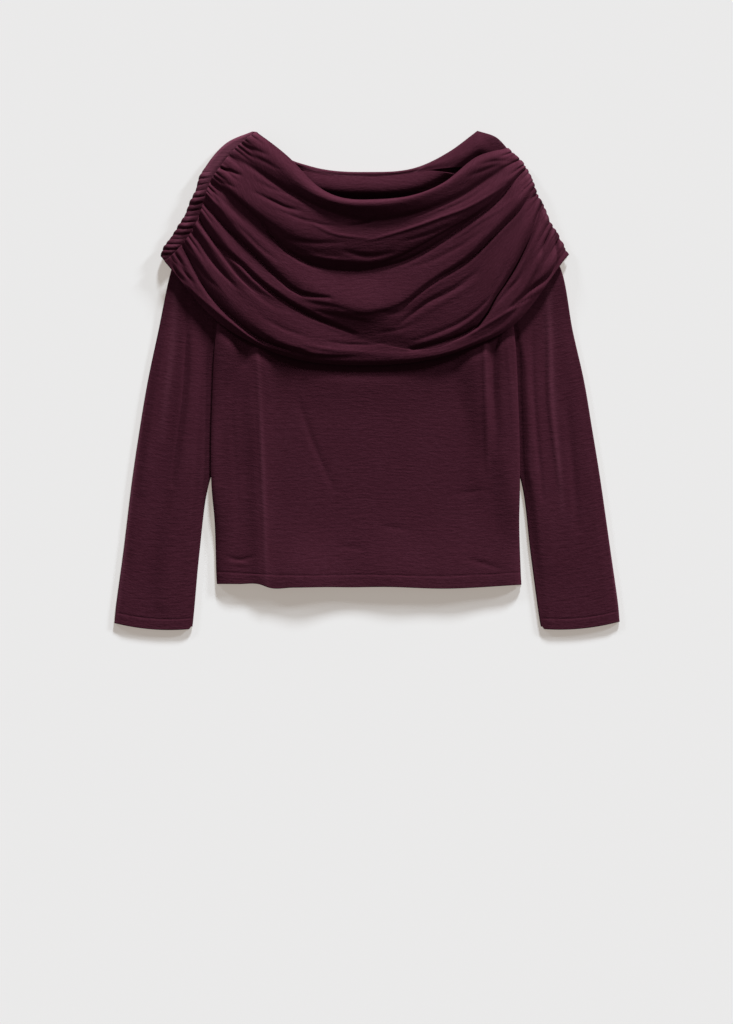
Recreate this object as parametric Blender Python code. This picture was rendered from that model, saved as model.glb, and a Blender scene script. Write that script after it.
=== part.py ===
"""Cowl neck sweater lying flat on its back, as six knitted pieces stacked the way they lie.

+X is the right of the view from above, +Y runs up to the neck, and +Z rises from the floor.
Lengths are in millimetres here, and MM turns them into metres when a mesh is made.
"""

from collections import namedtuple

import bpy
import numpy as np

MM = 0.001

# Walls, and the air between them
KNIT = 1.4
COWL_KNIT = 1.6
SEAM_GAP = 0.3
LAYER_GAP = 0.6
HOLLOW = 1.2
PRESSED_HOLLOW = 0.8

# Heights that the stack of layers gives
COWL_LIFT = COWL_KNIT + LAYER_GAP
SLEEVE_PRESSED = 2 * KNIT + PRESSED_HOLLOW
COWL_GROUND = COWL_LIFT + SLEEVE_PRESSED + LAYER_GAP + 2 * KNIT + PRESSED_HOLLOW + LAYER_GAP
COWL_RAMP = 24.0
CENTRE_DROP = 2.6

# Folds in the collar's back piece
NECK_FOLD_RADIUS = 3.0
SIDE_FOLD_RADIUS = 4.2
NECK_RISE = 7.0
NECK_CREST = 21.0
NECK_CREST_REACH = 16.0
NECK_REACH = 34.0
NECK_CLEARANCE = 1.2
NECK_FOLD_START = 0.26
LEAST_FOLD = 2.0
SIDE_FOLD_START = (0, 0.14)
SIDE_FOLD_TURN = (1.0, -0.5)
SIDE_FOLD_SHIFT = 0.125
SIDE_PLEATS = 14
SIDE_PLEAT_RISE = 1.4
SIDE_PLEAT_START = (0.2, 0.35)

# How far into the body, from its side and from the inner edge of a sleeve, the cloth is pressed
SIDE_ROUNDING = 26.0
SLEEVE_PRESS = (-48, -14)
SLEEVE_COVER = (-52, -12)
SLEEVE_COVER_TOP = (-240, -168)
COWL_COVER = (-110, -32)
COWL_PRESS = 0.75
CREASE_PRESS = 0.7

# Colours
WINE = (0.045, 0.012, 0.021, 1.0)
WINE_DARK = (0.040, 0.010, 0.018, 1.0)

Spot = namedtuple("Spot", "x y")
Swag = namedtuple(
    "Swag",
    "name left right y_eighth y_quarter y_middle y_three_quarter y_seven_eighths"
    " z_left z_eighth z_quarter z_middle z_three_quarter z_seven_eighths z_right",
)
Section = namedtuple("Section", "name x_left x_right y_left y_quarter y_middle y_three_quarter y_right")
SleeveSection = namedtuple("SleeveSection", "name x_outer y_outer x_inner y_inner")

# The collar's seams and its outline beside them, from the shoulder peak down to the lower corner
LEFT_SEAM = (
    Spot(-155, 348),
    Spot(-181, 328),
    Spot(-203, 302),
    Spot(-220, 276),
    Spot(-227, 255),
    Spot(-234, 232),
    Spot(-248, 204),
    Spot(-265, 183),
    Spot(-283, 166),
)
LEFT_OUTLINE = (
    Spot(-157, 349),
    Spot(-197, 331),
    Spot(-218, 309),
    Spot(-233, 283),
    Spot(-240, 260),
    Spot(-250, 238),
    Spot(-263, 212),
    Spot(-278, 192),
    Spot(-287, 172),
)
RIGHT_SEAM = (
    Spot(155, 349),
    Spot(181, 340),
    Spot(199, 322),
    Spot(217, 305),
    Spot(229, 284),
    Spot(237, 262),
    Spot(247, 243),
    Spot(254, 225),
    Spot(266, 205),
    Spot(281, 176),
)

# The front's folds, in order from the lower edge to the neck. The first two numbers say how far
# down each shoulder seam the fold line starts. The y columns place it at stations between the
# seams, and the z columns say how high it stands above the cloth under it.
STATIONS = (0, 1 / 8, 1 / 4, 1 / 2, 3 / 4, 7 / 8, 1)
HEIGHT_STATIONS = (0, 1 / 4, 1 / 2, 3 / 4, 1)
SWAGS = (
    Swag("lower_edge", 1.000, 1.000, 85, 44, 21, 45, 82, 1, 2, 2.5, 2.5, 3, 2, 1),
    Swag("edge_roll", 0.930, 0.930, 87, 47, 27, 48, 87, 3, 4, 5, 5, 5.5, 4.5, 3),
    Swag("trough_f", 0.855, 0.865, 90, 50, 33, 51, 92, 1, 4, 4.5, 5.5, 5.8, 5, 0.5),
    Swag("crest_f", 0.810, 0.830, 107, 56, 38, 54, 99, 4.5, 8, 8.6, 6, 6, 7, 4),
    Swag("trough_e", 0.745, 0.790, 123, 76, 44, 56, 106, 1.5, 8, 8.4, 5.6, 6, 7.5, 1),
    Swag("crest_e", 0.700, 0.720, 138, 92, 50, 58, 115, 5, 8.5, 8.2, 5.6, 5.8, 7.5, 4),
    Swag("trough_d", 0.650, 0.655, 149, 107, 57, 61, 125, 1.5, 7, 7.6, 5.7, 5.2, 7, 1),
    Swag("crest_d", 0.605, 0.615, 167, 119, 76, 82, 143, 6, 11, 10.8, 9.2, 8.3, 11, 5),
    Swag("trough_c", 0.545, 0.575, 187, 136, 91, 155, 204, 2, 9, 10.7, 12, 10.2, 9.5, 1),
    Swag("crest_c", 0.490, 0.510, 204, 155, 104, 167, 223, 7, 13.5, 13.4, 15.7, 13.3, 14, 6),
    Swag("trough_b", 0.425, 0.402, 232, 180, 153, 210, 247, 2, 10.5, 11.5, 10, 12.4, 10, 1),
    Swag("slope_b", 0.395, 0.388, 241, 196, 167, 219, 254, 5, 14, 16, 15.5, 17, 14, 3),
    Swag("crest_b", 0.360, 0.375, 250, 216, 196, 230, 263, 7, 17, 20.2, 20.5, 19.7, 16, 4),
    Swag("trough_a", 0.200, 0.335, 286, 256, 227, 259, 289, 2, 14, 18.5, 19.7, 18.8, 12, 2.5),
    Swag("neck_roll", 0.070, 0.255, 306, 263, 247, 276, 304, 6, 18, 24, 27, 23.4, 17, 6),
    Swag("neck_edge", 0.000, 0.220, 313, 270, 254, 281, 312, 2, 12, 19, 23, 19, 12, 3),
)
BACK_NECK_Y = (314, 299, 291, 300, 320)
BACK_LOWER_Y = (108, 75, 55, 77, 110)

# How deep the collar's back is folded over inside the neck, as a share of its own depth
FACING_STATIONS = (0, 0.15, 0.5, 0.75, 0.9, 1)
FACING_DEPTHS = (0, 0.03, 0.035, 0.05, 0.13, 0.16)

# Cross sections of the body from the hem to the shoulders
BODY_SECTIONS = (
    Section("hem", -210, 216, -285, -290, -289, -291, -286),
    Section("above_hem", -211, 215, -265, -269, -268, -270, -266),
    Section("hip", -213, 213, -200, -202, -202, -202, -200),
    Section("waist", -218, 214, -135, -136, -136, -136, -135),
    Section("rib", -217, 212, -40, -40, -40, -40, -40),
    Section("underarm", -210, 205, 75, 70, 70, 70, 75),
    Section("chest", -188, 184, 160, 150, 148, 150, 160),
    Section("shoulder", -168, 166, 235, 225, 215, 225, 235),
)
BACK_TOP = Section("back_neck", -150, 150, 285, 294, 286, 294, 285)
FRONT_TOP = Section("front_neck", -150, 150, 285, 262, 246, 262, 285)

# Cross sections of each sleeve from the cuff to the shoulder
LEFT_SLEEVE = (
    SleeveSection("cuff", -353, -340, -245, -348),
    SleeveSection("above_cuff", -350, -310, -242, -316),
    SleeveSection("forearm", -340, -237, -235, -240),
    SleeveSection("elbow", -328, -139, -223, -149),
    SleeveSection("above_elbow", -317, -65, -197, -80),
    SleeveSection("upper_arm", -306, 0, -176, -10),
    SleeveSection("underarm", -291, 71, -166, 60),
    SleeveSection("arm", -273, 155, -162, 145),
    SleeveSection("cap", -250, 212, -158, 205),
    SleeveSection("shoulder", -222, 275, -150, 275),
)
RIGHT_SLEEVE = (
    SleeveSection("cuff", 353, -338, 244, -348),
    SleeveSection("above_cuff", 350, -307, 239, -314),
    SleeveSection("forearm", 340, -237, 229, -238),
    SleeveSection("elbow", 326, -139, 218, -149),
    SleeveSection("above_elbow", 314, -65, 196, -80),
    SleeveSection("upper_arm", 303, 0, 174, -10),
    SleeveSection("underarm", 287, 71, 162, 60),
    SleeveSection("arm", 271, 155, 160, 145),
    SleeveSection("cap", 237, 212, 156, 205),
    SleeveSection("shoulder", 207, 275, 148, 275),
)
CUFF_BOW = 4.5

# Soft folds that run down the front, each at x, with the rows between which it shows
Crease = namedtuple("Crease", "name x half_width y_low y_high rise")
FRONT_CREASES = (
    Crease("left_valley", -167, 13, -140, 110, -2.0),
    Crease("left_ridge", -148, 9, -290, 110, 3.0),
    Crease("right_valley", 178, 12, -110, 110, -2.0),
    Crease("right_ridge", 158, 11, -150, 110, 2.0),
)
CREASE_FADE = 25.0
HEM_BULGE_X = -80.0
HEM_BULGE_HALF_WIDTH = 95.0
HEM_BULGE_RISE = 6.0
HEM_BULGE_REACH = 60.0
HEM_LOFT = 1.2

# Grid sizes
COWL_COLUMNS = 28
COWL_ROWS = (2, 2, 2, 2, 2, 2, 3, 3, 3, 3, 3, 3, 3, 3, 3)
BACK_COWL_COLUMNS = 16
BACK_COWL_ROWS = 2 * SIDE_PLEATS
NECK_FOLD_SHARES = (0.14, 0.28, 0.42, 0.56, 0.78, 1.0)
SIDE_FOLD_SHARES = (1.0, 0.8, 0.6, 0.45, 0.3, 0.15)
SEAM_CROWDING = 1.25
BODY_COLUMNS = 18
BODY_ROWS = (1, 2, 1, 2, 2, 2, 2, 8)
SLEEVE_ROWS = 14
SLEEVE_TOP_POINTS = 8


def smooth_curve(stations, values, at):
    """The cubic through the values, whose slope at each station comes from its neighbours."""
    stations = np.asarray(stations, float)
    values = np.asarray(values, float)
    at = np.clip(np.asarray(at, float), stations[0], stations[-1])
    slopes = np.gradient(values, stations, axis=0)
    low = np.clip(np.searchsorted(stations, at, side="right") - 1, 0, len(stations) - 2)
    span = stations[low + 1] - stations[low]
    part = (at - stations[low]) / span
    extra = (1,) * (values.ndim - 1)
    span = span.reshape(span.shape + extra)
    part = part.reshape(part.shape + extra)
    start = values[low] * (2 * part**3 - 3 * part**2 + 1)
    end = values[low + 1] * (3 * part**2 - 2 * part**3)
    bend = slopes[low] * (part**3 - 2 * part**2 + part) + slopes[low + 1] * (part**3 - part**2)
    return start + end + bend * span


def ease(value, low, high):
    """0 below low, 1 above high, and a smooth step between."""
    part = np.clip((value - low) / (high - low), 0, 1)
    return part * part * (3 - 2 * part)


def along(spots, share):
    """Points at shares of the length of the curve through the spots."""
    points = np.array(spots, float)
    steps = np.linalg.norm(np.diff(points, axis=0), axis=1)
    lengths = np.concatenate([[0], np.cumsum(steps)])
    return smooth_curve(lengths / lengths[-1], points, share)


def grid_normals(middle, ring):
    """Unit normals of a grid of points, whose columns join in a ring for a tube."""
    if ring:
        across = np.roll(middle, -1, axis=1) - np.roll(middle, 1, axis=1)
    else:
        across = np.gradient(middle, axis=1)
    up = np.gradient(middle, axis=0)
    normals = np.cross(across, up)
    return normals / np.linalg.norm(normals, axis=2, keepdims=True)


def wall_faces(rows, columns, ring):
    """Faces of a closed wall: both sides of the grid and its open edges."""
    inner = rows * columns

    def at(row, column):
        return row * columns + column % columns

    faces = []
    spans = columns if ring else columns - 1
    for row in range(rows - 1):
        for column in range(spans):
            near, far = at(row, column), at(row + 1, column + 1)
            for half in ((near, at(row, column + 1), far), (near, far, at(row + 1, column))):
                faces.append(half)
                faces.append([inner + point for point in reversed(half)])
    last = rows - 1
    for column in range(spans):
        here, after = at(0, column), at(0, column + 1)
        faces.append([here, inner + here, inner + after, after])
        here, after = at(last, column), at(last, column + 1)
        faces.append([here, after, inner + after, inner + here])
    if not ring:
        for row in range(rows - 1):
            here, after = at(row, 0), at(row + 1, 0)
            faces.append([here, after, inner + after, inner + here])
            here, after = at(row, columns - 1), at(row + 1, columns - 1)
            faces.append([here, inner + here, inner + after, after])
    return faces


def knit_material(name, colour):
    material = bpy.data.materials.new(name)
    material.use_nodes = True
    shader = material.node_tree.nodes["Principled BSDF"]
    shader.inputs["Base Color"].default_value = colour
    shader.inputs["Roughness"].default_value = 0.85
    shader.inputs["Metallic"].default_value = 0.0
    material.diffuse_color = colour
    return material


def make_wall(name, middle, wall, colour, ring=False):
    """One cloth piece: a wall of even thickness round its grid of middle points."""
    normals = grid_normals(middle, ring)
    rows, columns = middle.shape[:2]
    points = np.stack([middle + normals * wall / 2, middle - normals * wall / 2]).reshape(-1, 3)
    mesh = bpy.data.meshes.new(name)
    mesh.from_pydata((points * MM).tolist(), [], wall_faces(rows, columns, ring))
    mesh.shade_smooth()
    mesh.materials.append(knit_material(name, colour))
    piece = bpy.data.objects.new(name, mesh)
    bpy.context.scene.collection.objects.link(piece)
    return piece


def back_cowl_cover(x, y):
    """1 over the collar's back piece, easing to 0 below its lower edge."""
    left = LEFT_OUTLINE[-1]
    right = RIGHT_SEAM[-1]
    edge_y = (left.y,) + BACK_LOWER_Y + (right.y,)
    edge_x = left.x + np.array(STATIONS) * (right.x - left.x)
    return ease(y - smooth_curve(edge_x, edge_y, x), *COWL_COVER)


def outline_x(sections, x_name, y_name, y):
    """Where an outline of the body or a sleeve is at height y."""
    ys = [getattr(section, y_name) for section in sections]
    xs = [getattr(section, x_name) for section in sections]
    return smooth_curve(ys, xs, y)


def sleeve_cover(x, y):
    """1 where the body lies on a sleeve that is tucked under it, easing to 0 towards the middle."""
    left = outline_x(LEFT_SLEEVE, "x_inner", "y_inner", y)
    right = outline_x(RIGHT_SLEEVE, "x_inner", "y_inner", y)
    beside = ease(left - x, *SLEEVE_COVER) + ease(x - right, *SLEEVE_COVER)
    return beside * ease(y, *SLEEVE_COVER_TOP)


def grid_rows(counts):
    """Places of a grid's rows in a table of sections, with this many rows from each section to the next."""
    rows = [low + part / count for low, count in enumerate(counts) for part in range(count)]
    return np.array(rows + [len(counts)])


def body_grid(top):
    """Plan of a body panel: rows from the hem to its own top section."""
    sections = BODY_SECTIONS + (top,)
    share = np.linspace(0, 1, BODY_COLUMNS + 1)
    table = smooth_curve(range(len(sections)), [section[1:] for section in sections], grid_rows(BODY_ROWS))
    x = table[:, :1] + (table[:, 1:2] - table[:, :1]) * share
    y = smooth_curve(HEIGHT_STATIONS, table[:, 2:].T, share).T
    return x, y


def neck_depth(x, y):
    """How far down the back a point is from the back neck."""
    left, right = LEFT_OUTLINE[0], RIGHT_SEAM[0]
    neck_x = left.x + np.array(STATIONS) * (right.x - left.x)
    return smooth_curve(neck_x, (left.y,) + BACK_NECK_Y + (right.y,), x) - y


def near_neck(x, y):
    """1 along the back neck, fading down the back."""
    return np.exp(-((np.maximum(neck_depth(x, y), 0) / NECK_REACH) ** 2))


def neck_rise(x, y):
    """The back stands up in a soft roll inside the neck, but not where the front's shoulders lie on it."""
    roll = np.exp(-(((neck_depth(x, y) - NECK_CREST) / NECK_CREST_REACH) ** 2))
    return NECK_RISE * roll * ease(x, -112, -70) * (1 - ease(x, 135, 165))


def back_height(x, y):
    """Middle of the back panel's wall."""
    lift = neck_rise(x, y) + NECK_CLEARANCE * near_neck(x, y)
    cover = COWL_LIFT * back_cowl_cover(x, y) + (SLEEVE_PRESSED + LAYER_GAP) * sleeve_cover(x, y)
    return KNIT / 2 + cover + lift


def cowl_ground(x, y):
    """What the collar's front lies on: lower in the middle, where no sleeve is tucked under the body."""
    middle = (1 - ease(np.abs(x), 45, 120)) * ease(neck_depth(x, y), 40, 90)
    return COWL_GROUND - CENTRE_DROP * middle


def front_creases(x, y):
    """Height that the front's soft folds add."""
    rise = 0 * x
    for crease in FRONT_CREASES:
        start = ease(y, crease.y_low - CREASE_FADE, crease.y_low + CREASE_FADE)
        end = 1 - ease(y, crease.y_high, crease.y_high + 2 * CREASE_FADE)
        rise = rise + crease.rise * start * end * np.exp(-(((x - crease.x) / crease.half_width) ** 2))
    return rise


def make_body_back():
    x, y = body_grid(BACK_TOP)
    make_wall("body_back", np.stack([x, y, back_height(x, y)], axis=2), KNIT, WINE_DARK)


def make_body_front():
    x, y = body_grid(FRONT_TOP)
    share = np.linspace(0, 1, BODY_COLUMNS + 1)
    width = x[:, -1:] - x[:, :1]
    from_side = np.minimum(share, 1 - share) * width
    puff = np.sqrt(1 - (1 - np.clip(from_side / SIDE_ROUNDING, 0, 1)) ** 2)
    pressed = sleeve_cover(x, y)
    air = HOLLOW + (PRESSED_HOLLOW - HOLLOW) * pressed
    above_hem = y - BODY_SECTIONS[0].y_middle
    bulge = HEM_BULGE_RISE * np.exp(-(((x - HEM_BULGE_X) / HEM_BULGE_HALF_WIDTH) ** 2)) + HEM_LOFT
    hem = bulge * np.exp(-((above_hem / HEM_BULGE_REACH) ** 2))
    folds = front_creases(x, y) * (1 - CREASE_PRESS * pressed)
    air = np.maximum(air + folds + hem, SEAM_GAP) * puff
    z = back_height(x, y) + KNIT + SEAM_GAP + air
    make_wall("body_front", np.stack([x, y, z], axis=2), KNIT, WINE)


def make_sleeve(name, sections, body_side):
    """A sleeve as a flattened tube: its top wall, one end fold, its bottom wall and the other."""
    rows = np.linspace(0, len(sections) - 1, SLEEVE_ROWS + 1)
    table = smooth_curve(range(len(sections)), [section[1:] for section in sections], rows)
    if sections[0].x_outer < 0:
        start, end = table[:, :2], table[:, 2:]
    else:
        start, end = table[:, 2:], table[:, :2]
    share = np.linspace(0, 1, SLEEVE_TOP_POINTS)
    plan = start[:, None] + (end - start)[:, None] * share[:, None]
    cuff = np.exp(-rows)[:, None] * 4 * share * (1 - share)
    plan[..., 1] -= CUFF_BOW * cuff
    x, y = plan[..., 0], plan[..., 1]
    covered = back_cowl_cover(x, y)
    side_x = outline_x(BODY_SECTIONS, f"x_{body_side}", f"y_{body_side}", y)
    inward = x - side_x if body_side == "left" else side_x - x
    pressed = np.maximum(ease(inward, *SLEEVE_PRESS), COWL_PRESS * covered)
    floor = KNIT / 2 + COWL_LIFT * covered
    rise = KNIT + HOLLOW + (PRESSED_HOLLOW - HOLLOW) * pressed
    radius = rise / 2
    direction = (end - start) / np.linalg.norm(end - start, axis=1, keepdims=True)
    inset = radius[:, :1] + (-radius[:, :1] - radius[:, -1:]) * share
    plan = plan + direction[:, None] * inset[..., None]
    top = np.concatenate([plan, (floor + rise)[..., None]], axis=2)
    bottom = np.concatenate([plan, floor[..., None]], axis=2)
    ends = []
    for column, way in ((-1, 1), (0, -1)):
        for angle in np.radians((40, 0, -40)) * way:
            reach = radius[:, column][:, None] * np.cos(angle)
            out = plan[:, column] + way * direction * reach
            height = floor[:, column] + radius[:, column] * (1 + np.sin(angle))
            ends.append(np.concatenate([out, height[:, None]], axis=1)[:, None])
    loop = [top] + ends[:3] + [bottom[:, ::-1]] + ends[3:]
    make_wall(name, np.concatenate(loop, axis=1), KNIT, WINE, ring=True)


def fold_over(path, radius):
    """How far a cloth has advanced, and risen, this length of path after its fold began."""
    turn = np.clip(path / radius, 0, np.pi)
    beyond = np.maximum(path - np.pi * radius, 0)
    before = np.minimum(path, 0)
    return before + radius * np.sin(turn) - beyond, radius * (1 - np.cos(turn))


def strip_path(down):
    """Length of cloth from the start of the left side fold to the ruched seam."""
    strip = np.linalg.norm(along(LEFT_SEAM, down) - along(LEFT_OUTLINE, down), axis=-1)
    on_arc = SIDE_FOLD_RADIUS * (np.pi - np.arcsin(np.clip(1 - strip / SIDE_FOLD_RADIUS, 0, 1)))
    whole = on_arc + np.maximum(strip - SIDE_FOLD_RADIUS, 0)
    return LEAST_FOLD + (whole - LEAST_FOLD) * ease(down, *SIDE_FOLD_START)


def back_cowl_plan(share, up):
    """Plan of the collar's back at a share of its width and a share of its depth."""
    left = along(LEFT_OUTLINE, 1 - up)
    right = along(RIGHT_SEAM, 1 - up)
    chord = left + (right - left) * share[:, None]
    drops = []
    for edge_y, row in ((BACK_LOWER_Y, 1), (BACK_NECK_Y, 0)):
        ends = along(LEFT_OUTLINE, row)[1], along(RIGHT_SEAM, row)[1]
        line = (ends[0],) + edge_y + (ends[1],)
        chord_y = ends[0] + (ends[1] - ends[0]) * share
        drops.append(chord_y - smooth_curve(STATIONS, line, share))
    chord[:, 1] -= drops[0] + (drops[1] - drops[0]) * up
    return chord


def make_cowl_back():
    """The collar's back: flat on the floor, folded over the neck and round the left shoulder."""
    share = np.linspace(0, 1, BACK_COWL_COLUMNS + 1)
    depth = smooth_curve(FACING_STATIONS, FACING_DEPTHS, share)
    height = back_cowl_plan(share, 1.0)[:, 1] - back_cowl_plan(share, 0.0)[:, 1]
    turned = ease(share, 0, NECK_FOLD_START)
    neck_path = np.maximum((NECK_FOLD_RADIUS * np.pi + depth * height) * turned, LEAST_FOLD)
    neck_reach = NECK_FOLD_RADIUS * np.sin(np.clip(neck_path / NECK_FOLD_RADIUS, 0, np.pi / 2))
    flat_rows = np.linspace(0, 1, BACK_COWL_ROWS + 1)
    side_shares = np.array(SIDE_FOLD_SHARES)
    rows = []
    for flat, fold in [(row, 0) for row in flat_rows] + [(1, row) for row in NECK_FOLD_SHARES]:
        advance, rise = fold_over(neck_path * fold, NECK_FOLD_RADIUS)
        up = flat * (1 - neck_reach / height) + advance / height
        floor = np.array([back_cowl_plan(share, level)[index] for index, level in enumerate(up)])
        z = COWL_KNIT / 2 + rise + neck_rise(floor[:, 0], floor[:, 1])
        down = 1 - up[0]
        direction = (along(LEFT_SEAM, down) - along(LEFT_OUTLINE, down)) + np.array(SIDE_FOLD_TURN)
        direction = direction / np.linalg.norm(direction)
        side_advance, side_rise = fold_over(strip_path(down) * side_shares, SIDE_FOLD_RADIUS)
        side = floor[0] + direction * (SIDE_FOLD_RADIUS - side_advance)[:, None]
        shift = SIDE_FOLD_RADIUS * np.clip(1 - share / SIDE_FOLD_SHIFT, 0, 1)
        floor = floor + direction * shift[:, None]
        pleat = SIDE_PLEAT_RISE * np.sin(np.pi * SIDE_PLEATS * down) ** 2 * ease(down, *SIDE_PLEAT_START)
        pleat = pleat * np.sin(np.pi * side_shares)
        side = np.concatenate([side, (z[0] + side_rise + pleat)[:, None]], axis=1)
        flat_part = np.concatenate([floor, z[:, None]], axis=1)
        rows.append(np.concatenate([side, flat_part]))
    make_wall("cowl_back", np.array(rows), COWL_KNIT, WINE_DARK)


def seam_columns(count):
    """Shares across the front of the collar, closer together near both seams."""
    even = np.linspace(-1, 1, count + 1)
    return 0.5 + 0.5 * np.sign(even) * (1 - (1 - np.abs(even)) ** SEAM_CROWDING)


def make_cowl_front():
    """The draped front: each row of the grid follows one swag from seam to seam."""
    table = smooth_curve(range(len(SWAGS)), [swag[1:] for swag in SWAGS], grid_rows(COWL_ROWS))
    share = seam_columns(COWL_COLUMNS)
    left = along(LEFT_SEAM, table[:, 0])
    right = along(RIGHT_SEAM, table[:, 1])
    line = np.concatenate([left[:, 1:], table[:, 2:7], right[:, 1:]], axis=1)
    x = left[:, :1] + (right[:, :1] - left[:, :1]) * share
    y = smooth_curve(STATIONS, line.T, share).T
    rise = smooth_curve(STATIONS, table[:, 7:].T, share).T
    width = right[:, :1] - left[:, :1]
    left_seam = fold_over(strip_path(table[:, 0]), SIDE_FOLD_RADIUS)[1][:, None] + COWL_KNIT
    right_seam = COWL_KNIT
    left_part = np.sin(np.pi / 2 * np.clip(share * width / COWL_RAMP, 0, 1))
    right_part = np.sin(np.pi / 2 * np.clip((1 - share) * width / COWL_RAMP, 0, 1))
    level = cowl_ground(x, y)
    ground = level - (level - left_seam) * (1 - left_part) - (level - right_seam) * (1 - right_part)
    z = ground + SEAM_GAP + COWL_KNIT / 2 + np.maximum(rise, 0)
    make_wall("cowl_front", np.stack([x, y, z], axis=2), COWL_KNIT, WINE)


def main():
    for old in list(bpy.data.objects):
        bpy.data.objects.remove(old)
    make_sleeve("sleeve_left", LEFT_SLEEVE, "left")
    make_sleeve("sleeve_right", RIGHT_SLEEVE, "right")
    make_cowl_back()
    make_body_back()
    make_body_front()
    make_cowl_front()


main()
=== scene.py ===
"""Looks of the cowl neck sweater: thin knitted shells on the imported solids, with their folds and seams.

Lengths are in millimetres here, as in the part, and MM turns them into metres when a mesh is made.
+X is the right of the view from above, +Y runs up to the neck, and +Z rises from the floor.
"""

from collections import namedtuple

import bpy
import numpy as np
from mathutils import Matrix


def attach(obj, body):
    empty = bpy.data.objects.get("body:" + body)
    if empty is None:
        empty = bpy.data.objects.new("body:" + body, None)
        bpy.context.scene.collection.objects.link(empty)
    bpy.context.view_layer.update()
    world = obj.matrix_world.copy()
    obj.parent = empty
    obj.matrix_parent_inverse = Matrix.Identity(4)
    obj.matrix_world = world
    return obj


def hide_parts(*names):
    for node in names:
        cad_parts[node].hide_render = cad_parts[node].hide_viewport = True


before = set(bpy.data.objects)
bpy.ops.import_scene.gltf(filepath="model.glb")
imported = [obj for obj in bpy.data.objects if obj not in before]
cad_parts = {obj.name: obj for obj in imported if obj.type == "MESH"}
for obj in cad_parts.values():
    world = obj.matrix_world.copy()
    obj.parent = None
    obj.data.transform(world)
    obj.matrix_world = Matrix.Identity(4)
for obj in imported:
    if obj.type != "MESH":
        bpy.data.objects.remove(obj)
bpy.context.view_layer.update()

MM = 0.001

# Walls, and the air between them
KNIT = 1.4
COWL_KNIT = 1.6
SEAM_GAP = 0.3
LAYER_GAP = 0.6
HOLLOW = 1.2
PRESSED_HOLLOW = 0.8

# Heights that the stack of layers gives
COWL_LIFT = COWL_KNIT + LAYER_GAP
SLEEVE_PRESSED = 2 * KNIT + PRESSED_HOLLOW
COWL_GROUND = COWL_LIFT + SLEEVE_PRESSED + LAYER_GAP + 2 * KNIT + PRESSED_HOLLOW + LAYER_GAP
COWL_RAMP = 24.0
CENTRE_DROP = 2.6

# Folds in the collar's back piece
NECK_FOLD_RADIUS = 2.7
SIDE_FOLD_RADIUS = 4.2
NECK_RISE = 7.0
NECK_CREST = 25.0
NECK_FALL_END = 40.0
NECK_REACH = 34.0
NECK_CLEARANCE = 1.2
NECK_FOLD_START = 0.26
FACING_DROP = 1.5
FACING_THINNING = 0.7
LEAST_FOLD = 2.0
SIDE_PLEATS = 24
SIDE_PLEAT_START = (0.34, 0.52)
PLEAT_RISE = 2.6
PLEAT_SLANT = 2.6
PLEAT_SPREAD = 1.1
SIDE_COLUMNS = 28

Spot = namedtuple("Spot", "x y")
Swag = namedtuple(
    "Swag",
    "name left right y_eighth y_quarter y_middle y_three_quarter y_seven_eighths"
    " z_left z_eighth z_quarter z_middle z_three_quarter z_seven_eighths z_right",
)
Section = namedtuple("Section", "name x_left x_right y_left y_quarter y_middle y_three_quarter y_right")
SleeveSection = namedtuple("SleeveSection", "name x_outer y_outer x_inner y_inner")

# The collar's seams and its outline beside them, from the shoulder peak down to the lower corner
LEFT_SEAM = (
    Spot(-155, 348),
    Spot(-181, 328),
    Spot(-203, 302),
    Spot(-220, 276),
    Spot(-227, 255),
    Spot(-234, 232),
    Spot(-248, 204),
    Spot(-265, 183),
    Spot(-283, 166),
)
LEFT_OUTLINE = (
    Spot(-157, 349),
    Spot(-197, 331),
    Spot(-218, 309),
    Spot(-233, 283),
    Spot(-240, 260),
    Spot(-250, 238),
    Spot(-263, 212),
    Spot(-278, 192),
    Spot(-287, 172),
)
RIGHT_SEAM = (
    Spot(155, 349),
    Spot(181, 340),
    Spot(199, 322),
    Spot(217, 305),
    Spot(229, 284),
    Spot(237, 262),
    Spot(247, 243),
    Spot(254, 225),
    Spot(266, 205),
    Spot(281, 176),
)

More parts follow.
